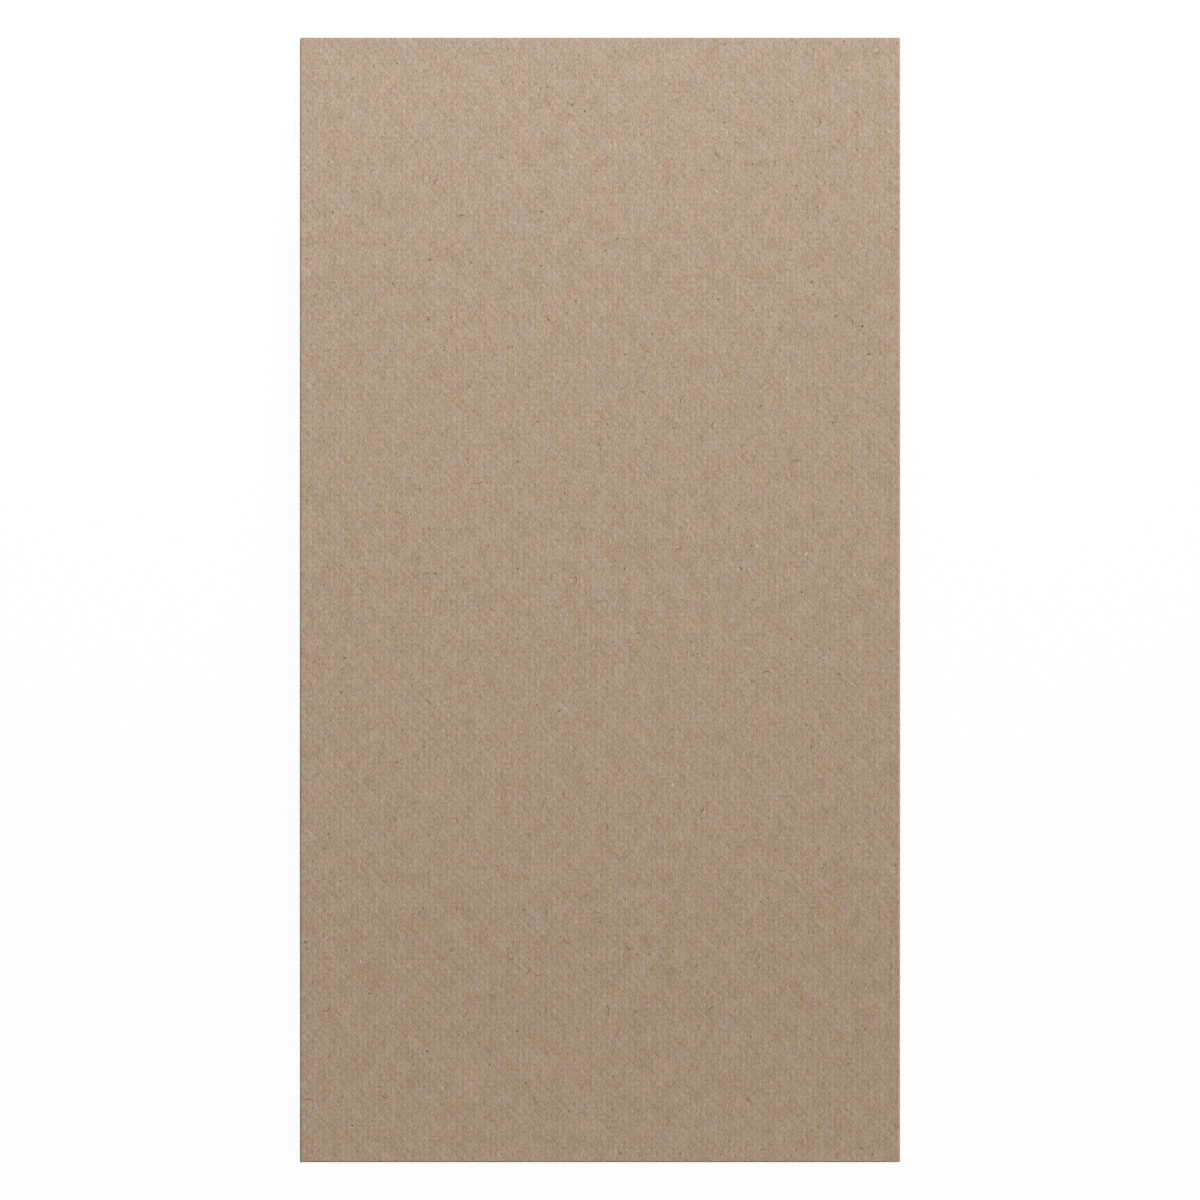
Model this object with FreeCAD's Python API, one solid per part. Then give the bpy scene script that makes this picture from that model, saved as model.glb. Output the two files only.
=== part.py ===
import FreeCAD, Part
import math
import os

from FreeCAD import Placement, Rotation, Vector

# A paper guest towel, folded to a sixth of its sheet: in three across the width, like a letter, with
# both flaps inside, and then in half across the length. Its open end is cut after it is folded, so
# the layers end flush there. It is one sheet, so it is one solid.
# Millimetres. The towel lies on a table, +Z up. X runs across it, and Y along it towards the cross
# fold. The origin is on the table, under the middle of the folded towel.

# --- Driving dimensions ------------------------------------------------------------------------
folded_width = 108.0        # between the two long folds
folded_length = 202.4       # from the nose of the cross fold to the furthest cut edge
sheet_thickness = 0.15      # one ply of embossed towel paper
layer_gap = 0.075           # air that the embossing keeps between two layers
half_gap = 0.10             # air between the two halves where they leave the cross fold
inner_flap_short = 3.0      # the flap folded first stops this far short of the left fold
outer_flap_short = 3.5      # the flap folded last stops this far short of the right fold
halves_offset = 0.25        # the upper half's edge stops this far short of the lower half's
spring_slope = 4.8          # degrees: the upper half springs up from the cross fold by this
spring_length = 35.0        # along the bend that eases it off
middle_slope = 0.4          # degrees: the upper half still rises by this over its middle
droop_slope = 3.9           # degrees: then it comes down towards the lower half by this
droop_length = 45.0         # along the bend that brings it down
lift_slope = 4.5            # degrees: its open end turns up again to this
lift_length = 30.0          # along the bend that turns it up

# --- The three layers of one half, counted up from the table: panel, inner flap, outer flap ----
pitch = sheet_thickness + layer_gap
panel_z = 0.0
inner_flap_z = panel_z + pitch
outer_flap_z = inner_flap_z + pitch
half_height = outer_flap_z + sheet_thickness

left = -folded_width / 2
right = folded_width / 2
right_fold_radius = pitch / 2           # to the middle of the paper, from panel to inner flap
left_fold_radius = pitch                # the same, from panel to outer flap, round the inner one
right_fold_x = right - right_fold_radius - sheet_thickness / 2
left_fold_x = left + left_fold_radius + sheet_thickness / 2

# --- The run of the towel from its lower open end, round the cross fold, to its upper open end --
# Each bend of the upper half is the slope it starts at, the slope it ends at, and its length along
# the panel's outer face. The slopes are angles above level, seen on the way to the open end.
spring_bend = (math.radians(spring_slope), math.radians(middle_slope), spring_length)
droop_bend = (math.radians(middle_slope), math.radians(-droop_slope), droop_length)
lift_bend = (math.radians(-droop_slope), math.radians(lift_slope), lift_length)
upper_bends = [spring_bend, droop_bend, lift_bend]


def bend_radius(slope_a, slope_b, length):
    """Positive where the bend turns the same way as the cross fold."""
    return length / (slope_a - slope_b)


def bend_reach(slope_a, slope_b, length):
    """How far along Y a bend of the upper half goes."""
    return bend_radius(slope_a, slope_b, length) * (math.sin(slope_a) - math.sin(slope_b))


def bend_rise(slope_a, slope_b, length):
    return bend_radius(slope_a, slope_b, length) * (math.cos(slope_b) - math.cos(slope_a))


cross_fold_radius = half_height + half_gap / 2      # to the outer face of the panel
cross_fold_turn = math.pi - math.radians(spring_slope)
cross_fold_y = folded_length / 2 - cross_fold_radius
lower_end_y = -folded_length / 2
lower_straight = cross_fold_y - lower_end_y
upper_reach = (
    lower_straight - halves_offset
    + cross_fold_radius * math.sin(math.radians(spring_slope))
    - half_height * math.sin(math.radians(lift_slope))
)
upper_bend_reach = sum(bend_reach(*bend) for bend in upper_bends)
upper_straight = (upper_reach - upper_bend_reach) / math.cos(math.radians(middle_slope))


def fold_arc(centre_x, centre_z, radius, side):
    """Half circle round a long fold, from its lower end to its upper end. side is +1 on the right."""
    low = Vector(centre_x, 0, centre_z - radius)
    out = Vector(centre_x + side * radius, 0, centre_z)
    high = Vector(centre_x, 0, centre_z + radius)
    return Part.Arc(low, out, high).toShape()


def line(x_a, z_a, x_b, z_b):
    return Part.LineSegment(Vector(x_a, 0, z_a), Vector(x_b, 0, z_b)).toShape()


def letter_fold_section():
    """The sheet's cut edge seen along Y: the panel, a flap turned over it, and a flap over that."""
    paper = sheet_thickness
    panel_top = panel_z + paper
    inner_top = inner_flap_z + paper
    outer_top = outer_flap_z + paper
    inner_end = left + inner_flap_short
    outer_end = right - outer_flap_short
    right_centre_z = (panel_z + inner_top) / 2
    left_centre_z = (panel_z + outer_top) / 2
    half_paper = paper / 2
    outline = [
        line(left_fold_x, panel_z, right_fold_x, panel_z),
        fold_arc(right_fold_x, right_centre_z, right_fold_radius + half_paper, 1),
        line(right_fold_x, inner_top, inner_end, inner_top),
        line(inner_end, inner_top, inner_end, inner_flap_z),
        line(inner_end, inner_flap_z, right_fold_x, inner_flap_z),
        fold_arc(right_fold_x, right_centre_z, right_fold_radius - half_paper, 1),
        line(right_fold_x, panel_top, left_fold_x, panel_top),
        fold_arc(left_fold_x, left_centre_z, left_fold_radius - half_paper, -1),
        line(left_fold_x, outer_flap_z, outer_end, outer_flap_z),
        line(outer_end, outer_flap_z, outer_end, outer_top),
        line(outer_end, outer_top, left_fold_x, outer_top),
        fold_arc(left_fold_x, left_centre_z, left_fold_radius + half_paper, -1),
    ]
    return Part.Face(Part.Wire(Part.__sortEdges__(outline)))


def straight(section, length):
    """A stretch that runs straight on. Returns it with the step to where it ends."""
    run = Vector(0, length, 0)
    return section.extrude(run), Placement(run, Rotation())


def turned(section, axis_z, turn):
    """A stretch that turns about an axis along X at height axis_z, upwards if turn is positive."""
    centre = Vector(0, 0, axis_z)
    across = Vector(1, 0, 0)
    degrees = math.degrees(turn)
    moved = Placement(Vector(0, 0, 0), Rotation(across, degrees), centre)
    return section.revolve(centre, across, degrees), moved


def bent(section, slope_a, slope_b, length):
    """One bend of the upper half."""
    return turned(section, bend_radius(slope_a, slope_b, length), slope_a - slope_b)


def folded_towel():
    section = letter_fold_section()
    stretches = [
        straight(section, lower_straight),
        turned(section, cross_fold_radius, cross_fold_turn),
        bent(section, *spring_bend),
        straight(section, upper_straight),
        bent(section, *droop_bend),
        bent(section, *lift_bend),
    ]
    place = Placement(Vector(0, lower_end_y, 0), Rotation())
    solids = []
    for solid, step in stretches:
        solid.Placement = place.multiply(solid.Placement)
        solids.append(solid)
        place = place.multiply(step)
    towel = solids[0].multiFuse(solids[1:]).removeSplitter()
    return towel.Solids[0], section.Area / sheet_thickness


os.makedirs("parts", exist_ok=True)
towel, sheet_width = folded_towel()
towel.exportStep("parts/guest_towel.step")

# The panel goes the longest way round the cross fold. Each layer nearer the middle of the fold is
# shorter than the one outside it.
panel_middle = sheet_thickness / 2
panel_length = (
    lower_straight + upper_straight
    + (cross_fold_radius - panel_middle) * cross_fold_turn
    + sum(length - panel_middle * (slope_a - slope_b) for slope_a, slope_b, length in upper_bends)
)
layer_saving = pitch * (math.pi - math.radians(lift_slope))
# The upper half comes nearest to the lower one where its last bend is level.
lift_from, lift_to, _ = lift_bend
level_at = lift_length * lift_from / (lift_from - lift_to)
least_gap = half_gap + sum([
    bend_rise(*spring_bend),
    upper_straight * math.sin(math.radians(middle_slope)),
    bend_rise(*droop_bend),
    bend_rise(lift_from, 0, level_at),
])
box = towel.optimalBoundingBox(False, False)
flat_area = towel.Volume / sheet_thickness
print(f"flat sheet {sheet_width:.1f} x {panel_length:.1f} mm, each flap {layer_saving:.2f} mm shorter")
print(f"folded {box.XLength:.2f} x {box.YLength:.2f} x {box.ZLength:.2f} mm, lowest {box.ZMin:.3f}")
print(f"the halves come within {least_gap:.2f} mm of each other past the cross fold")
print(f"volume {towel.Volume:.1f} mm3, flat area {flat_area:.0f} mm2, valid {towel.isValid()}")
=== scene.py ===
import math

import bmesh
import bpy
import numpy as np
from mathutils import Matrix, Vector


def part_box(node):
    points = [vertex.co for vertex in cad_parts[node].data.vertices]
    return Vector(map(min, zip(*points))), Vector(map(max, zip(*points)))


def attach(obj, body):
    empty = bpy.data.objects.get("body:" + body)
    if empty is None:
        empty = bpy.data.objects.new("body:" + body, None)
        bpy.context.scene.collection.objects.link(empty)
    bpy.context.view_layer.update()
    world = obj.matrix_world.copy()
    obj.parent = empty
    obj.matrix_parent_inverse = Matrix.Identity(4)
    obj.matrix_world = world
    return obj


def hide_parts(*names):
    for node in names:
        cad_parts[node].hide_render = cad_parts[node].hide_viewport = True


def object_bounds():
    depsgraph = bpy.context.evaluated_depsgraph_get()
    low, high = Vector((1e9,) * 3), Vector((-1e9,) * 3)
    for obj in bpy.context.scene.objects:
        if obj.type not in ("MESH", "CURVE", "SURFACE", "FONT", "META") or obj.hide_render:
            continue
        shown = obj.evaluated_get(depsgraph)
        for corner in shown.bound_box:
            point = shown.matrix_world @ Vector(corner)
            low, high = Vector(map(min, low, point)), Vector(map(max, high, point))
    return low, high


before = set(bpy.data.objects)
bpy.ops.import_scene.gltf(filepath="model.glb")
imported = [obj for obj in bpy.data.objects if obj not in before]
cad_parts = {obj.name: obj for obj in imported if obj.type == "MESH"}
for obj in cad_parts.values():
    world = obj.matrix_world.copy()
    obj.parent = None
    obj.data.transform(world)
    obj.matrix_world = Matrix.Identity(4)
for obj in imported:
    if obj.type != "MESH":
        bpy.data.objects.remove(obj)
cad_low, cad_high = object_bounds()

# === The guest towel ============================================================================
# One ply of brown kraft towel paper, made from recycled fibre and embossed all over with small dots
# by the rolls that it runs between. A machine folds it in three, like a letter, and then in half, and
# trims its open end.

# --- The sheet, laid out flat ---
# Millimetres, until the mesh is made. On the flat sheet u runs across the towel and v along it, and
# w is the height above the middle of the paper, towards the side that ends up outside.
PAPER = 0.15
AIR = 0.075                             # the embossing keeps this much air between two layers
PITCH = PAPER + AIR
LEFT_FOLD = PITCH                       # radius to the middle of the paper, round the inner flap
RIGHT_FOLD = PITCH / 2
OUTER_FLAP_SHORT = 3.5                  # each flap stops this far short of the fold it reaches for
INNER_FLAP_SHORT = 3.0

towel_low, towel_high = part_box("guest_towel")
folded_width = 1000 * (towel_high.x - towel_low.x)
folded_length = 1000 * (towel_high.y - towel_low.y)
left_x = -folded_width / 2 + LEFT_FOLD + PAPER / 2
right_x = folded_width / 2 - RIGHT_FOLD - PAPER / 2
outer_flap_edge = folded_width / 2 - OUTER_FLAP_SHORT
inner_flap_edge = -folded_width / 2 + INNER_FLAP_SHORT

# Across the sheet, from the free edge of the outer flap to that of the inner one: each stretch is a
# length and the angle that it turns to the left.
across = [
    (outer_flap_edge - left_x, 0),
    (LEFT_FOLD * math.pi, math.pi),
    (right_x - left_x, 0),
    (RIGHT_FOLD * math.pi, math.pi),
    (right_x - inner_flap_edge, 0),
]

# Along the sheet, from the lower open end to the upper one, on the outer face of the panel: flat on
# the table, round the cross fold, then springing up, easing off, drooping and lifting again. The
# slopes are above level, seen on the way to the open end.
PANEL_HEIGHT = PAPER / 2
OUTER_FLAP_HEIGHT = 2 * PITCH + PAPER / 2
HALF_HEIGHT = OUTER_FLAP_HEIGHT + PAPER / 2
HALF_GAP = 0.10                         # air between the halves where they leave the cross fold
CROSS_FOLD = HALF_HEIGHT + HALF_GAP / 2  # radius to the outer face of the panel
SPRING, MIDDLE, DROOP, LIFT = (math.radians(degrees) for degrees in (4.8, 0.4, -3.9, 4.5))
SPRING_RUN, DROOP_RUN, LIFT_RUN = 35.0, 45.0, 30.0
UPPER_END_SHORT = 0.25                  # the upper half stops this far short of the lower one

bends = [(SPRING_RUN, SPRING, MIDDLE), (DROOP_RUN, MIDDLE, DROOP), (LIFT_RUN, DROOP, LIFT)]
lower_run = folded_length - CROSS_FOLD
upper_reach = lower_run - UPPER_END_SHORT + CROSS_FOLD * math.sin(SPRING) - HALF_HEIGHT * math.sin(LIFT)
for run, before, after in bends:
    upper_reach -= run * (math.sin(before) - math.sin(after)) / (before - after)
spring_bend, droop_bend, lift_bend = [(run, before - after) for run, before, after in bends]
fold_turn = math.pi - SPRING
along = [
    (lower_run, 0),
    (CROSS_FOLD * fold_turn, fold_turn),
    spring_bend,
    (upper_reach / math.cos(MIDDLE), 0),
    droop_bend,
    lift_bend,
]
sheet_width = sum(length for length, _ in across)
sheet_length = sum(length - PANEL_HEIGHT * turn for length, turn in along)

# The embossed dots stand on a square lattice with one more in the middle of each square. The dots
# on the panel that faces up are real relief, so its mesh is fine, with a point on each dot.
DOT_SQUARE = (2.0, 2.01)                # across and along the sheet
DOT_RADIUS = 0.54
DOT_HEIGHT = 0.03
TOP_MARGIN = 1.0                        # the real dots stop this far short of the upper cut edge
PATCH_SQUARES = 2                       # a patch of the mesh is this many of their squares each way
PATCH_CUTS = 8                          # and is cut into this many parts each way

outer_flap, left_fold, panel, right_fold, _ = (length for length, _ in across)
left_fold_end = outer_flap + left_fold
panel_end = left_fold_end + panel
right_fold_end = panel_end + right_fold
dots_from = ((left_fold_end + panel_end) / 2, sheet_length - TOP_MARGIN)
patch = (PATCH_SQUARES * DOT_SQUARE[0], PATCH_SQUARES * DOT_SQUARE[1])
panel_patches = int(panel / patch[0])
panel_u = dots_from[0] + patch[0] * (np.arange(panel_patches + 1) - panel_patches / 2)

fold_end = lower_run + (CROSS_FOLD - PANEL_HEIGHT) * fold_turn
top_patches = int((sheet_length - fold_end - TOP_MARGIN) / patch[1])
top_v = dots_from[1] - patch[1] * np.arange(top_patches, -1, -1)

# Lines of points on the stretches that are drawn coarser.
FLAP_LINES = 11
LEFT_FOLD_LINES = 9
RIGHT_FOLD_LINES = 7
LOWER_PANEL_LINES = 36
CROSS_FOLD_LINES = 17
BESIDE_FOLD = 0.12                      # a line this near each fold keeps the shading of the flat
u_lines = np.concatenate([
    np.linspace(0, outer_flap - BESIDE_FOLD, FLAP_LINES),
    np.linspace(outer_flap, left_fold_end, LEFT_FOLD_LINES),
    [left_fold_end + BESIDE_FOLD],
    panel_u,
    [panel_end - BESIDE_FOLD],
    np.linspace(panel_end, right_fold_end, RIGHT_FOLD_LINES),
    np.linspace(right_fold_end + BESIDE_FOLD, sheet_width, FLAP_LINES),
])
v_lines = np.concatenate([
    np.linspace(0, lower_run - BESIDE_FOLD, LOWER_PANEL_LINES),
    np.linspace(lower_run, fold_end, CROSS_FOLD_LINES),
    [fold_end + BESIDE_FOLD],
    top_v,
    [sheet_length],
])


def dots(u, v):
    """The embossing over the sheet, from 0 between the dots to 1 on top of them."""
    # On top of a dot p + q and p - q are both whole numbers.
    p = (u - dots_from[0]) / DOT_SQUARE[0]
    q = (v - dots_from[1]) / DOT_SQUARE[1]
    off_a = p + q - np.round(p + q)
    off_b = p - q - np.round(p - q)
    away = DOT_SQUARE[0] * np.hypot(off_a, off_b) / math.sqrt(2)
    near = np.clip(1 - away / DOT_RADIUS, 0, 1)
    return near * near * (3 - 2 * near)


ON_LINE = 0.01                          # points nearer to a line than this are on it


def among(value, lines):
    """Whether each value lies between the first line and the last, or on one of them."""
    return (value > lines[0] - ON_LINE) & (value < lines[-1] + ON_LINE)


sheet = bmesh.new()
side = sheet.faces.layers.float.new("side")
grid = {}
for face in (1, -1):
    for i, u in enumerate(u_lines):
        for j, v in enumerate(v_lines):
            grid[face, i, j] = sheet.verts.new((u, v, face * PAPER / 2))
last_i = len(u_lines) - 1
last_j = len(v_lines) - 1
fine_edges = set()
for i in range(last_i):
    for j in range(last_j):
        corners = [(i, j), (i + 1, j), (i + 1, j + 1), (i, j + 1)]
        outside = sheet.faces.new([grid[1, p, q] for p, q in corners])
        within = sheet.faces.new([grid[-1, p, q] for p, q in reversed(corners)])
        outside[side] = 1
        within[side] = -1
        middle = outside.calc_center_median()
        if among(middle.x, panel_u) and among(middle.y, top_v):
            fine_edges.update(outside.edges)
rim = [(i, 0) for i in range(last_i)] + [(last_i, j) for j in range(last_j)]
rim += [(i, last_j) for i in range(last_i, 0, -1)] + [(0, j) for j in range(last_j, 0, -1)]
for (i, j), (p, q) in zip(rim, rim[1:] + rim[:1]):
    cut = sheet.faces.new([grid[1, p, q], grid[1, i, j], grid[-1, i, j], grid[-1, p, q]])
    # The knife leaves the cut square, so only the edges that run through the paper are smooth.
    for edge in cut.edges:
        edge.smooth = abs(edge.verts[0].co.z - edge.verts[1].co.z) > PAPER / 2
for polygon in sheet.faces:
    polygon.smooth = True
bmesh.ops.subdivide_edges(sheet, edges=list(fine_edges), cuts=PATCH_CUTS - 1, use_grid_fill=True)
u, v, w = np.array([point.co for point in sheet.verts]).T
raised = (w > 0) & among(u, panel_u) & among(v, top_v)
for point, height in zip(sheet.verts, raised * DOT_HEIGHT * dots(u, v)):
    point.co.z += height
# The longer diagonal of each square is the one through a dot, so every dot is an even cone.
bmesh.ops.triangulate(sheet, faces=sheet.faces[:], quad_method="LONG_EDGE")

mesh = bpy.data.meshes.new("towel_paper")
sheet.to_mesh(mesh)
sheet.free()

corner_count = len(mesh.loops)
flat = np.zeros(3 * len(mesh.vertices))
corner_point = np.zeros(corner_count, int)
face_size = np.zeros(len(mesh.polygons), int)
face_side = np.zeros(len(mesh.polygons))
mesh.vertices.foreach_get("co", flat)
mesh.loops.foreach_get("vertex_index", corner_point)
mesh.polygons.foreach_get("loop_total", face_size)
mesh.attributes["side"].data.foreach_get("value", face_side)
u, v, w = flat.reshape(-1, 3).T

# The pattern of the paper is drawn on the flat sheet, so it runs on round every fold. On the cut
# edges, which have no width there, it runs on through the paper.
corner_side = np.repeat(face_side, face_size)
corner_u, corner_v, corner_w = u[corner_point], v[corner_point], w[corner_point]
on_rim = corner_side == 0
drawn = np.stack([corner_u + on_rim * corner_w, corner_v + on_rim * corner_w], axis=1)
mesh.uv_layers.new(name="flat_sheet").data.foreach_set("uv", drawn.ravel())


# The second map is for the finish once it is stored as pictures. It gives most of its room to the
# two panels that show, and a narrow strip to each part of the sheet that is folded away.
def face_mean(values):
    """The mean of the values over each face, at each of its corners."""
    first = np.cumsum(face_size) - face_size
    return np.repeat(np.add.reduceat(values, first) / face_size, face_size)


mean_u = face_mean(corner_u)
mean_v = face_mean(corner_v)
panel_from = outer_flap + left_fold / 2
panel_to = panel_end + right_fold / 2
half_way = (lower_run + fold_end) / 2
outward = corner_side > 0
of_panel = outward & (mean_u > panel_from) & (mean_u < panel_to)
end_cut = on_rim & ((mean_v < ON_LINE) | (mean_v > sheet_length - ON_LINE))
side_cut = on_rim & ~end_cut
over_panel = (corner_u, panel_from, panel_to)
over_outer_flap = (corner_u, 0, panel_from)
over_inner_flap = (corner_u, panel_to, sheet_width)
over_sheet = (corner_u, 0, sheet_width)
through_paper = (corner_w, -PAPER / 2, PAPER / 2)
up_upper_half = (corner_v, half_way, sheet_length)
up_lower_half = (corner_v, 0, half_way)
up_sheet = (corner_v, 0, sheet_length)
MAP_MARGIN = 0.004
# Each strip: the corners on it, where it starts and ends across the map, and what runs across it
# and up it, with the values at either end.
strips = [
    (of_panel & (mean_v > half_way), MAP_MARGIN, 0.530, over_panel, up_upper_half),
    (of_panel & (mean_v < half_way), 0.540, 0.800, over_panel, up_lower_half),
    (outward & (mean_u < panel_from), 0.810, 0.860, over_outer_flap, up_sheet),
    (outward & (mean_u > panel_to), 0.868, 0.915, over_inner_flap, up_sheet),
    (corner_side < 0, 0.923, 0.972, over_sheet, up_sheet),
    (end_cut & (mean_v < half_way), 0.977, 0.980, through_paper, over_sheet),
    (end_cut & (mean_v > half_way), 0.983, 0.986, through_paper, over_sheet),
    (side_cut & (mean_u < panel_from), 0.988, 0.991, through_paper, up_sheet),
    (side_cut & (mean_u > panel_from), 0.993, 1 - MAP_MARGIN, through_paper, up_sheet),
]
stored = np.zeros((corner_count, 2))
for chosen, start, end, (over, over_from, over_to), (up, up_from, up_to) in strips:
    share_over = (over - over_from) / (over_to - over_from)
    share_up = (up - up_from) / (up_to - up_from)
    stored[chosen, 0] = (start + (end - start) * share_over)[chosen]
    stored[chosen, 1] = (MAP_MARGIN + (1 - 2 * MAP_MARGIN) * share_up)[chosen]
mesh.uv_layers.new(name="OFBake").data.foreach_set("uv", stored.ravel())

# --- The folds ---
# The inner flap is turned over the panel and the outer flap over that, and then the strip is folded
# in half. Nothing but the creases holds it, so the upper half springs up a little.


def walk(stretches, start, facing, distance, measured_at, aside):
    """Where distance leads along straights and bends, each a length and its turn to the left.

    distance is measured along the line that runs measured_at to the left of the one given, and the
    point that comes back is aside to the left of that one.
    """
    x = np.full(len(distance), float(start[0]))
    y = np.full(len(distance), float(start[1]))
    heading = np.full(len(distance), float(facing))
    for length, turn in stretches:
        own_length = length - measured_at * turn
        share = np.clip(distance / own_length, 0, 1)
        if turn:
            radius = length / turn
            x += radius * (np.sin(facing + turn * share) - math.sin(facing))
            y -= radius * (np.cos(facing + turn * share) - math.cos(facing))
        else:
            x += length * share * math.cos(facing)
            y += length * share * math.sin(facing)
        heading += turn * share
        facing += turn
        distance = distance - own_length
    return x - aside * np.sin(heading), y + aside * np.cos(heading)


x, height = walk(across, (outer_flap_edge, OUTER_FLAP_HEIGHT), math.pi, u, 0, -w)
y, z = walk(along, (-folded_length / 2, 0), 0, v, PANEL_HEIGHT, height)

points = np.stack([x, y, z], axis=1) / 1000
mesh.vertices.foreach_set("co", points.ravel())
mesh.update()
towel = bpy.data.objects.new("guest_towel_paper", mesh)
bpy.context.scene.collection.objects.link(towel)

# --- The finish of the paper ---
# Unbleached recycled kraft tissue. Brown and pale fibres lie mixed in it, mostly along the web, with
# a few dark shives, and the forming fabric leaves fine slanting rows of pits. It looks matt and a
# little mottled, with a faint gloss on the pressed dots.


def linear(hex_colour):
    """An sRGB hex colour as the linear one that the shaders take."""
    channels = [int(hex_colour[i:i + 2], 16) / 255 for i in (1, 3, 5)]
    return [c / 12.92 if c <= 0.04045 else ((c + 0.055) / 1.055) ** 2.4 for c in channels] + [1]


def add(tree, kind, inputs=None, **settings):
    """Adds a node with its settings. An input is a value, a node whose first output it takes, or
    an output."""
    node = tree.nodes.new(kind)
    for name, value in settings.items():
        setattr(node, name, value)
    for name, value in (inputs or {}).items():
        if isinstance(name, int):
            socket = node.inputs[name]
        else:
            socket = next(s for s in node.inputs if s.name == name and s.enabled)
        if isinstance(value, bpy.types.Node):
            value = next(s for s in value.outputs if s.enabled)
        if isinstance(value, bpy.types.NodeSocket):
            tree.links.new(value, socket)
        else:
            socket.default_value = value
    return node


kraft = bpy.data.materials.new("brown_kraft_tissue")
kraft.use_nodes = True
tree = kraft.node_tree
tree.nodes.clear()
sheet_mm = add(tree, "ShaderNodeUVMap", uv_map="flat_sheet")
which_side = add(tree, "ShaderNodeAttribute", attribute_name="side").outputs["Fac"]

# Embossed dots: the distance to the nearest one, on a lattice turned by 45 degrees.
turn_to_dots = {
    "Vector": add(tree, "ShaderNodeVectorMath", {0: sheet_mm, 1: (*dots_from, 0)}, operation="SUBTRACT"),
    "Rotation": (0, 0, math.pi / 4),
    "Scale": (math.sqrt(2) / DOT_SQUARE[0], math.sqrt(2) / DOT_SQUARE[1], 0),
}
dot_cell = add(tree, "ShaderNodeMapping", turn_to_dots)
dot_near = add(tree, "ShaderNodeVectorMath", {0: dot_cell, 1: (0.5, 0.5, 0)}, operation="ADD")
dot_part = add(tree, "ShaderNodeVectorMath", {0: dot_near}, operation="FRACTION")
dot_off = add(tree, "ShaderNodeVectorMath", {0: dot_part, 1: (0.5, 0.5, 0)}, operation="SUBTRACT")
dot_away = add(tree, "ShaderNodeVectorMath", {0: dot_off}, operation="LENGTH").outputs["Value"]
cell_side = DOT_SQUARE[0] / math.sqrt(2)
dot = add(tree, "ShaderNodeMapRange",
          {"Value": dot_away, "From Min": DOT_RADIUS / cell_side, "From Max": 0},
          interpolation_type="SMOOTHSTEP")

# Pits from the knuckles of the forming fabric: upright ovals in columns, each column a third of a
# repeat further along than the one before.
PIT_COLUMN = 0.54                       # from one column to the next
PIT_REPEAT = 1.57                       # from one pit to the next in its column
PIT_SLIP = 0.493
PIT_SIZE = (0.28, 0.80)
PIT_RIM, PIT_FLOOR = 1.3, 0.3           # where its side starts and ends, in halves of that size
web = add(tree, "ShaderNodeSeparateXYZ", {0: sheet_mm}).outputs
columns = add(tree, "ShaderNodeMath", {0: web["X"], 1: 1 / PIT_COLUMN}, operation="MULTIPLY")
column = add(tree, "ShaderNodeMath", {0: columns}, operation="ROUND")
off_column = add(tree, "ShaderNodeMath", {0: columns, 1: column}, operation="SUBTRACT")
slipped = add(tree, "ShaderNodeMath", {0: column, 1: -PIT_SLIP, 2: web["Y"]}, operation="MULTIPLY_ADD")
repeats = add(tree, "ShaderNodeMath", {0: slipped, 1: 1 / PIT_REPEAT}, operation="MULTIPLY")
repeat = add(tree, "ShaderNodeMath", {0: repeats}, operation="ROUND")
off_repeat = add(tree, "ShaderNodeMath", {0: repeats, 1: repeat}, operation="SUBTRACT")
off_pit = add(tree, "ShaderNodeCombineXYZ", {0: off_column, 1: off_repeat})
pit_scale = (2 * PIT_COLUMN / PIT_SIZE[0], 2 * PIT_REPEAT / PIT_SIZE[1], 0)
in_pit = add(tree, "ShaderNodeVectorMath", {0: off_pit, 1: pit_scale}, operation="MULTIPLY")
pit_away = add(tree, "ShaderNodeVectorMath", {0: in_pit}, operation="LENGTH").outputs["Value"]
pit = add(tree, "ShaderNodeMapRange", {"Value": pit_away, "From Min": PIT_RIM, "From Max": PIT_FLOOR},
          interpolation_type="SMOOTHSTEP")

# Fibres: clouds of thicker and thinner stock, down to single fibres, drawn longer than wide because
# they lie along the web. A real fibre is about 0.03 mm wide, too fine to show, so the finest row is
# drawn coarser. Each row is a period across the web in mm, that stretch, and how far it carries the
# mix from brown to pale, from warm to cool and from green to pink.
FIBRES = [
    (8.0, 1.1, 0.03, 0.22, 0.10),
    (4.0, 1.2, 0.17, 0.21, 0.11),
    (2.0, 1.4, 0.25, 0.38, 0.23),
    (1.0, 2.6, 0.22, 0.50, 0.41),
    (0.55, 2.2, 0.35, 0.36, 0.50),
    (0.38, 1.6, 0.53, 0.20, 0.38),
    (0.26, 1.5, 0.80, 0.08, 0.34),
]
# Clouds come to a half on the whole, and these starts bring each mix to a half as well.
mixes = [0.5 - sum(weights) / 2 for weights in list(zip(*FIBRES))[2:]]
for period, stretch, *weights in FIBRES:
    laid = add(tree, "ShaderNodeVectorMath", {0: sheet_mm, 1: (1 / period, 1 / (stretch * period), 0)},
               operation="MULTIPLY")
    clouds = add(tree, "ShaderNodeTexNoise", {"Vector": laid, "Scale": 1, "Detail": 0},
                 noise_dimensions="2D")
    three_clouds = add(tree, "ShaderNodeSeparateColor", {0: clouds.outputs["Color"]}).outputs
    mixes = [add(tree, "ShaderNodeMath", {0: cloud, 1: weight, 2: mix}, operation="MULTIPLY_ADD")
             for cloud, weight, mix in zip(three_clouds, weights, mixes)]
finest_fibre = clouds
stock, warmth, bloom = mixes
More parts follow.
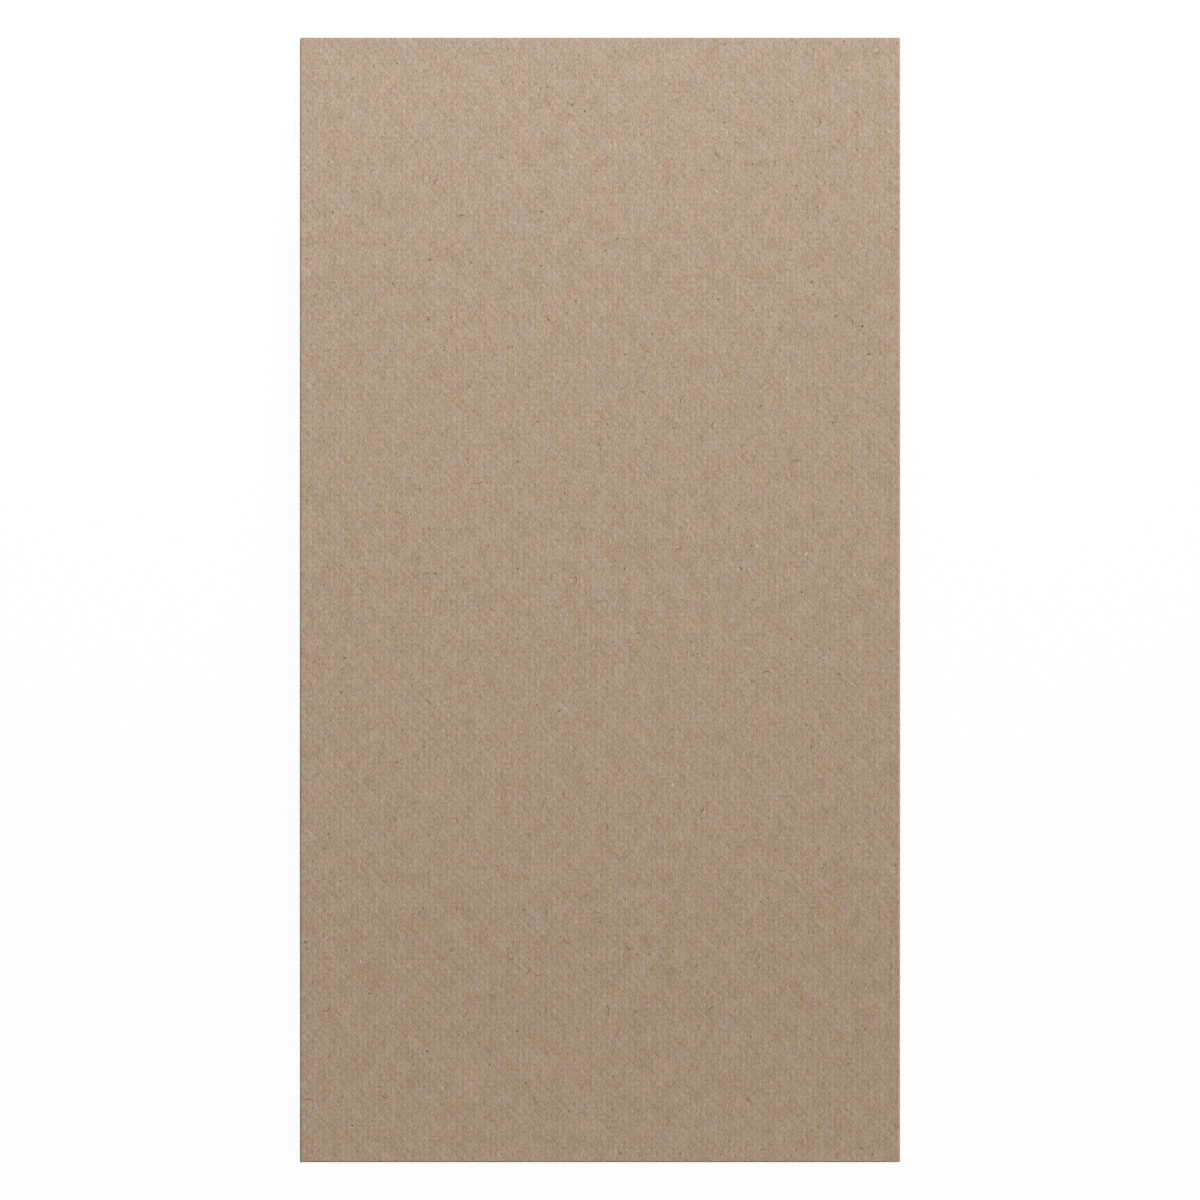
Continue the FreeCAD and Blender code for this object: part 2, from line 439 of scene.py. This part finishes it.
# Nothing gets much paler than a pale fibre.
PALEST = 0.90
EASED_OVER = 0.40
stock = add(tree, "ShaderNodeMath", {0: stock, 1: PALEST, 2: EASED_OVER}, operation="SMOOTH_MIN")
BROWN = linear("#A08264")
PALE = linear("#C1AC9B")
surface = add(tree, "ShaderNodeMix", {"Factor": stock, "A": BROWN, "B": PALE}, data_type="RGBA",
              clamp_factor=False)
WARM = linear("#FFFAEE")
COOL = linear("#F0F8FF")
GREEN = linear("#F6FFF6")
PINK = linear("#FFF6FF")
for share, one, other in ((warmth, WARM, COOL), (bloom, GREEN, PINK)):
    tint = add(tree, "ShaderNodeMix", {"Factor": share, "A": one, "B": other}, data_type="RGBA",
               clamp_factor=False)
    surface = add(tree, "ShaderNodeMix", {"Factor": 1.0, "A": surface, "B": tint}, data_type="RGBA",
                  blend_type="MULTIPLY")

# Painted shade, in part: the pits are darkened in colour for the shade that falls in them, and for the
# thinner paper where the fabric's knuckles pressed it.
PIT_SHADE = 0.11
IN_SHADE = linear("#6E5844")
shade = add(tree, "ShaderNodeMath", {0: pit, 1: PIT_SHADE}, operation="MULTIPLY")
surface = add(tree, "ShaderNodeMix", {"Factor": shade, "A": surface, "B": IN_SHADE}, data_type="RGBA")

# Flecks that the recycled stock brought with it. Each row: mm between them if all were kept, the
# share that is, half their length and width in mm, how far they curl, their colour, and how much of
# the paper's own colour they cover.
FLECKS = [
    (1.5, 0.18, 0.26, 0.14, 0.3, "#8C6A48", 0.55),
    (3.2, 0.12, 0.24, 0.15, 0.0, "#5C3C22", 0.75),
    (5.5, 0.19, 0.80, 0.11, 0.6, "#724C2C", 0.70),
    (12.0, 0.25, 0.18, 0.15, 0.0, "#2A1C14", 0.90),
    (7.0, 0.05, 0.30, 0.16, 0.2, "#DDD2C4", 0.60),
]
FLECK_RIM, FLECK_CORE = 1.2, 0.6        # where its edge starts and ends, in halves of its size
SHRUNK_MOST, SHRUNK_LEAST = 1.6, 0.8    # a fleck is its row's size over a number between these
ROW_SHIFT = (17.0, 31.0)                # mm that each row is moved by, so that no two rows line up
for number, (spacing, share, half_length, half_width, curl, colour, cover) in enumerate(FLECKS):
    shift = (ROW_SHIFT[0] * number, ROW_SHIFT[1] * number, 0)
    moved = add(tree, "ShaderNodeVectorMath", {0: sheet_mm, 1: shift}, operation="ADD")
    cells = add(tree, "ShaderNodeTexVoronoi", {"Vector": moved, "Scale": 1 / spacing},
                voronoi_dimensions="2D")
    chance = add(tree, "ShaderNodeSeparateColor", {0: cells.outputs["Color"]}).outputs
    from_middle = add(tree, "ShaderNodeVectorMath", {0: moved, 1: cells.outputs["Position"]},
                      operation="SUBTRACT")
    angle = add(tree, "ShaderNodeMath", {0: chance["Red"], 1: 2 * math.pi}, operation="MULTIPLY")
    lying = add(tree, "ShaderNodeVectorRotate", {"Vector": from_middle, "Angle": angle},
                rotation_type="Z_AXIS")
    place = add(tree, "ShaderNodeSeparateXYZ", {0: lying}).outputs
    squared = add(tree, "ShaderNodeMath", {0: place["X"], 1: 2}, operation="POWER")
    curled = add(tree, "ShaderNodeMath", {0: squared, 1: curl, 2: place["Y"]}, operation="MULTIPLY_ADD")
    straightened = add(tree, "ShaderNodeCombineXYZ", {0: place["X"], 1: curled})
    shrunk = add(tree, "ShaderNodeMapRange",
                 {"Value": chance["Green"], "To Min": SHRUNK_MOST, "To Max": SHRUNK_LEAST})
    sized = add(tree, "ShaderNodeVectorMath", {0: straightened, 1: (1 / half_length, 1 / half_width, 0)},
                operation="MULTIPLY")
    scaled = add(tree, "ShaderNodeVectorMath", {0: sized, "Scale": shrunk}, operation="SCALE")
    fleck_away = add(tree, "ShaderNodeVectorMath", {0: scaled}, operation="LENGTH").outputs["Value"]
    shape = add(tree, "ShaderNodeMapRange",
                {"Value": fleck_away, "From Min": FLECK_RIM, "From Max": FLECK_CORE, "To Max": cover},
                interpolation_type="SMOOTHSTEP")
    kept = add(tree, "ShaderNodeMath", {0: chance["Blue"], 1: share}, operation="LESS_THAN")
    fleck = add(tree, "ShaderNodeMath", {0: shape, 1: kept}, operation="MULTIPLY")
    surface = add(tree, "ShaderNodeMix", {"Factor": fleck, "A": surface, "B": linear(colour)},
                  data_type="RGBA")

# Relief, in mm, which the bump takes to metres: the dots stand out of one side and sink into the
# other. On the panel that faces up it makes the real ones crisper.
DOT_BUMP = 0.055
PIT_DEPTH = 0.006
FIBRE_RELIEF = 0.010
MILLIMETRE = 0.001
dot_relief = add(tree, "ShaderNodeMath", {0: which_side, 1: DOT_BUMP}, operation="MULTIPLY")
embossed = add(tree, "ShaderNodeMath", {0: dot, 1: dot_relief}, operation="MULTIPLY")
pitted = add(tree, "ShaderNodeMath", {0: pit, 1: -PIT_DEPTH, 2: embossed}, operation="MULTIPLY_ADD")
fibrous = add(tree, "ShaderNodeMath", {0: finest_fibre, 1: FIBRE_RELIEF, 2: pitted},
              operation="MULTIPLY_ADD")
relief = add(tree, "ShaderNodeBump", {"Height": fibrous, "Distance": MILLIMETRE})

LOOSE, PRESSED = 0.75, 0.65             # between the dots, and on them where the rolls pressed
roughness = add(tree, "ShaderNodeMapRange", {"Value": dot, "To Min": LOOSE, "To Max": PRESSED})
finish = {"Base Color": surface, "Roughness": roughness, "Normal": relief}
paper = add(tree, "ShaderNodeBsdfPrincipled", finish)
add(tree, "ShaderNodeOutputMaterial", {"Surface": paper})
mesh.materials.append(kraft)

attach(towel, "root")
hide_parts("guest_towel")

# === The table ==================================================================================
# A table top of white laminate, far larger than the towel, which only lies on it. It is pressed flat
# and matt, so all that shows of it is an even white with a faint soft shadow.

TABLE_HALF = 1.5                        # metres from its middle to each side
TABLE_BELOW = 0.00002                   # metres, so that its face isn't in the towel's lowest one
table_z = cad_low.z - TABLE_BELOW
table_corners = [(-TABLE_HALF, -TABLE_HALF), (TABLE_HALF, -TABLE_HALF),
                 (TABLE_HALF, TABLE_HALF), (-TABLE_HALF, TABLE_HALF)]
table_mesh = bpy.data.meshes.new("table_top")
table_mesh.from_pydata([(x, y, table_z) for x, y in table_corners], [], [(0, 1, 2, 3)])
table = bpy.data.objects.new("table_top", table_mesh)
bpy.context.scene.collection.objects.link(table)


def looked_at(tree):
    """1 for what the eye sees of a thing, straight or by gloss or through glass, 0 for its light."""
    rays = add(tree, "ShaderNodeLightPath").outputs
    seen = add(tree, "ShaderNodeMath", {0: rays["Is Camera Ray"], 1: rays["Is Glossy Ray"]},
               operation="MAXIMUM")
    return add(tree, "ShaderNodeMath", {0: seen, 1: rays["Is Transmission Ray"]}, operation="MAXIMUM")


WHITE = linear("#FFFFFF")
WHITENED = 0.96                         # the share of its look that is plain white, without shadow
white = bpy.data.materials.new("white_laminate")
white.use_nodes = True
tree = white.node_tree
tree.nodes.clear()
laminate = add(tree, "ShaderNodeBsdfDiffuse", {"Color": linear("#FAFAFA")})
glow = add(tree, "ShaderNodeEmission", {"Color": WHITE, "Strength": 1.0})
share_white = add(tree, "ShaderNodeMath", {0: looked_at(tree), 1: WHITENED}, operation="MULTIPLY")
table_look = add(tree, "ShaderNodeMixShader", {0: share_white, 1: laminate, 2: glow})
add(tree, "ShaderNodeOutputMaterial", {"Surface": table_look})
table_mesh.materials.append(white)

# === The light and the camera ===================================================================
# A large soft light stands to the right, about square to the long side of the towel. A softbox hangs
# past the cross fold, so the towel darkens towards its open end. The rest is an even white room.

ROOM = 0.06                             # the light that the room gives, where full white is 1
world = bpy.data.worlds.new("white_room")
world.use_nodes = True
bpy.context.scene.world = world
tree = world.node_tree
tree.nodes.clear()
room = add(tree, "ShaderNodeBackground", {"Color": WHITE, "Strength": ROOM})
backdrop = add(tree, "ShaderNodeBackground", {"Color": WHITE, "Strength": 1.0})
around = add(tree, "ShaderNodeMixShader", {0: looked_at(tree), 1: room, 2: backdrop})
add(tree, "ShaderNodeOutputWorld", {"Surface": around})

KEY = 0.635                             # about how bright it makes a level white sheet
KEY_ELEVATION = math.radians(45)
KEY_BEARING = math.radians(-5)          # counted from +X towards +Y
KEY_SPREAD = math.radians(60)
KEY_COLOUR = (1.05, 1.0, 0.93)          # a little warm
key_data = bpy.data.lights.new("key", "SUN")
key_data.energy = KEY * math.pi / math.sin(KEY_ELEVATION)
key_data.angle = KEY_SPREAD
key_data.color = KEY_COLOUR
key = bpy.data.objects.new("key", key_data)
key.rotation_mode = "XYZ"
key.rotation_euler = (0, math.pi / 2 - KEY_ELEVATION, KEY_BEARING)
bpy.context.scene.collection.objects.link(key)

BOX_WATTS = 0.345
BOX_COLOUR = (0.89, 1.0, 1.19)          # a little cool
BOX_PLACE = (0.0, 0.17, 0.125)          # metres, and it faces the middle of the towel
BOX_SIZE = (0.5, 0.2)
box_data = bpy.data.lights.new("softbox", "AREA")
box_data.energy = BOX_WATTS
box_data.color = BOX_COLOUR
box_data.shape = "RECTANGLE"
box_data.size, box_data.size_y = BOX_SIZE
softbox = bpy.data.objects.new("softbox", box_data)
softbox.location = BOX_PLACE
softbox.rotation_euler = (-math.atan2(BOX_PLACE[1], BOX_PLACE[2]), 0, 0)
bpy.context.scene.collection.objects.link(softbox)

# The camera looks straight down at the middle of the towel, from far off through a long lens.
LENS = 600
SENSOR = 36
FIELD = 0.216                           # metres across the view, level with the cross fold's nose
camera_data = bpy.data.cameras.new("camera")
camera_data.lens = LENS
camera_data.sensor_width = SENSOR
camera = bpy.data.objects.new("camera", camera_data)
camera.location = (0, 0, CROSS_FOLD / 1000 + FIELD * LENS / SENSOR)
bpy.context.scene.collection.objects.link(camera)
bpy.context.scene.camera = camera
bpy.context.scene.view_settings.view_transform = "Standard"
